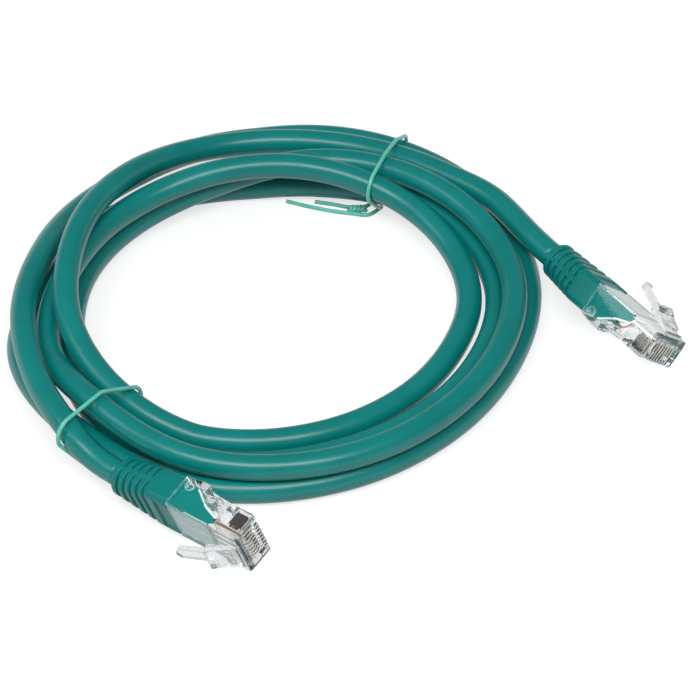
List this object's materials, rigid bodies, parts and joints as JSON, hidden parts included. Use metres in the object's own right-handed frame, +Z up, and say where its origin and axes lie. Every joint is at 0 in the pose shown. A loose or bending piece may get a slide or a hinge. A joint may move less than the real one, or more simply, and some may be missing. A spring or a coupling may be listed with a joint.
{
  "type": "ethernet patch cable",
  "caption": "Coiled round network patch cable with ribbed strain relief boots, clear latching modular plugs and two plastic-coated wire ties.",
  "frame": {"origin": "middle of the underside of the box round the two plugs and the two ties, on the surface that the coil lies on", "axes": "+Z up from the surface, +Y away from the viewer across the coil, +X to the viewer's right; plug A is at -X -Y and plug B at +X"},
  "size_m": [0.1458, 0.1504, 0.0188],
  "materials": {
    "jacket": "satin PVC, smooth, soft sheen",
    "boot": "moulded soft PVC, satin",
    "clear": "clear moulded polycarbonate",
    "tie": "thin smooth coating on a steel wire",
    "gold": "gold-plated phosphor bronze, polished",
    "copper": "bare drawn copper",
    "wire_white_orange": "white insulation with an orange stripe",
    "wire_orange": "satin insulation",
    "wire_white_green": "white insulation with a green stripe",
    "wire_blue": "satin insulation",
    "wire_white_blue": "white insulation with a blue stripe",
    "wire_green": "satin insulation",
    "wire_white_brown": "white insulation with a brown stripe",
    "wire_brown": "satin insulation"
  },
  "bodies": {
    "cable": {"cable_coil": "jacket", "cable_tail_a": "jacket", "cable_tail_b": "jacket", "tie_left": "tie", "tie_top": "tie", "housing_a": "clear", "boot_a": "boot", "jacket_end_a": "jacket", "copper_a": "copper", "contact_a_1": "gold", "contact_a_2": "gold", "contact_a_3": "gold", "contact_a_4": "gold", "contact_a_5": "gold", "contact_a_6": "gold", "contact_a_7": "gold", "contact_a_8": "gold", "conductor_a_1": "wire_white_orange", "conductor_a_2": "wire_orange", "conductor_a_3": "wire_white_green", "conductor_a_4": "wire_blue", "conductor_a_5": "wire_white_blue", "conductor_a_6": "wire_green", "conductor_a_7": "wire_white_brown", "conductor_a_8": "wire_brown", "housing_b": "clear", "boot_b": "boot", "jacket_end_b": "jacket", "copper_b": "copper", "contact_b_1": "gold", "contact_b_2": "gold", "contact_b_3": "gold", "contact_b_4": "gold", "contact_b_5": "gold", "contact_b_6": "gold", "contact_b_7": "gold", "contact_b_8": "gold", "conductor_b_1": "wire_white_orange", "conductor_b_2": "wire_orange", "conductor_b_3": "wire_white_green", "conductor_b_4": "wire_blue", "conductor_b_5": "wire_white_blue", "conductor_b_6": "wire_green", "conductor_b_7": "wire_white_brown", "conductor_b_8": "wire_brown"},
    "latch_a": {"latch_a": "clear"},
    "latch_b": {"latch_b": "clear"}
  },
  "joints": [
    {"name": "latch_a_press", "type": "hinge", "parent": "cable", "child": "latch_a", "pos_m": [-0.02395, -0.07125, 0.00822], "axis": [0.2808, 0.1865, -0.9415], "range_deg": [0, 17], "stiffness_Nm_per_rad": 0.1},
    {"name": "latch_b_press", "type": "hinge", "parent": "cable", "child": "latch_b", "pos_m": [0.06696, -0.00349, 0.00981], "axis": [-0.5905, -0.4709, 0.6554], "range_deg": [0, 15], "stiffness_Nm_per_rad": 0.1}
  ]
}
